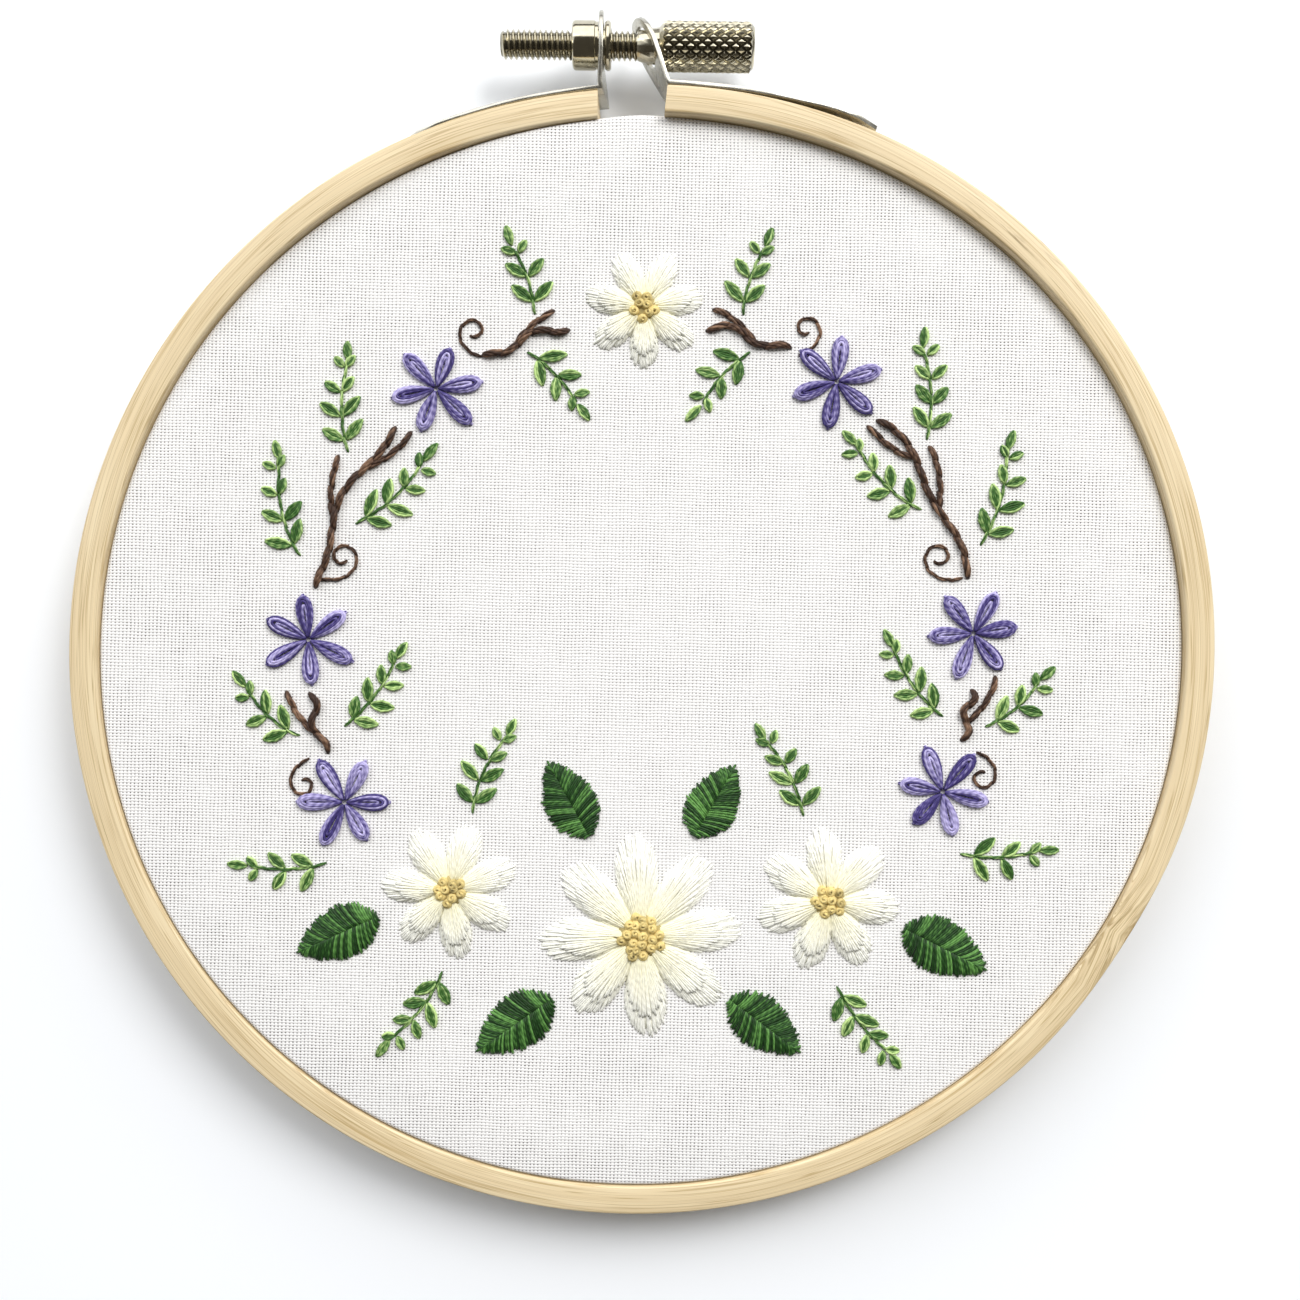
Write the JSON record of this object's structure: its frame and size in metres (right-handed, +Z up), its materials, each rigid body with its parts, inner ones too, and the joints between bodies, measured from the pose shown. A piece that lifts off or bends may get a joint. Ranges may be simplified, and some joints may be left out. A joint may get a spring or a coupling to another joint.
{
  "type": "hoop embroidery on stretched cloth in a wooden screw hoop",
  "caption": "Round wooden screw hoop holding taut plain-weave cloth, embroidered with a garland of daisies, small violet flowers, leaves and sprigs; its thumb screw turns.",
  "frame": {"origin": "centre of the bottom of the whole thing's box, on the surface it lies on", "axes": "+Z up out of the stitched face, +Y towards the clamp screw, +X to the right seen from the face"},
  "size_m": [0.165, 0.1748, 0.0123],
  "materials": {
    "bamboo": "sanded pale bamboo, unvarnished",
    "inner_bamboo": "sanded bamboo, unvarnished",
    "cotton_cloth": "plain-weave unbleached cotton",
    "nickel_plate": "bright nickel plate",
    "strip_steel": "plated strip steel",
    "white_floss": "stranded cotton floss",
    "yellow_floss": "stranded cotton floss",
    "violet_floss": "stranded cotton floss, variegated",
    "leaf_green_floss": "stranded cotton floss",
    "light_green_floss": "stranded cotton floss, variegated",
    "brown_floss": "stranded cotton floss, variegated"
  },
  "bodies": {
    "hoop": {"bracket_left": "strip_steel", "bracket_right": "strip_steel", "clamp_nut": "nickel_plate", "cloth": "cotton_cloth", "daisy_1": "white_floss", "daisy_2": "white_floss", "daisy_3": "white_floss", "daisy_4": "white_floss", "daisy_centre_1": "yellow_floss", "daisy_centre_2": "yellow_floss", "daisy_centre_3": "yellow_floss", "daisy_centre_4": "yellow_floss", "inner_ring": "inner_bamboo", "leaf_1": "leaf_green_floss", "leaf_2": "leaf_green_floss", "leaf_3": "leaf_green_floss", "leaf_4": "leaf_green_floss", "leaf_5": "leaf_green_floss", "leaf_6": "leaf_green_floss", "outer_ring": "bamboo", "sprig_1": "light_green_floss", "sprig_10": "light_green_floss", "sprig_11": "light_green_floss", "sprig_12": "light_green_floss", "sprig_13": "light_green_floss", "sprig_14": "light_green_floss", "sprig_15": "light_green_floss", "sprig_16": "light_green_floss", "sprig_17": "light_green_floss", "sprig_18": "light_green_floss", "sprig_19": "light_green_floss", "sprig_2": "light_green_floss", "sprig_20": "light_green_floss", "sprig_3": "light_green_floss", "sprig_4": "light_green_floss", "sprig_5": "light_green_floss", "sprig_6": "light_green_floss", "sprig_7": "light_green_floss", "sprig_8": "light_green_floss", "sprig_9": "light_green_floss", "stem_1": "brown_floss", "stem_2": "brown_floss", "stem_3": "brown_floss", "stem_4": "brown_floss", "stem_5": "brown_floss", "stem_6": "brown_floss", "violet_1": "violet_floss", "violet_2": "violet_floss", "violet_3": "violet_floss", "violet_4": "violet_floss", "violet_5": "violet_floss", "violet_6": "violet_floss"},
    "screw": {"thumb_screw": "nickel_plate"}
  },
  "joints": [
    {"name": "screw_turn", "type": "hinge", "parent": "hoop", "child": "screw", "pos_m": [-0.00003, 0.08274, 0.00673], "axis": [0.9999, -0.0157, 0.005], "continuous": true}
  ]
}
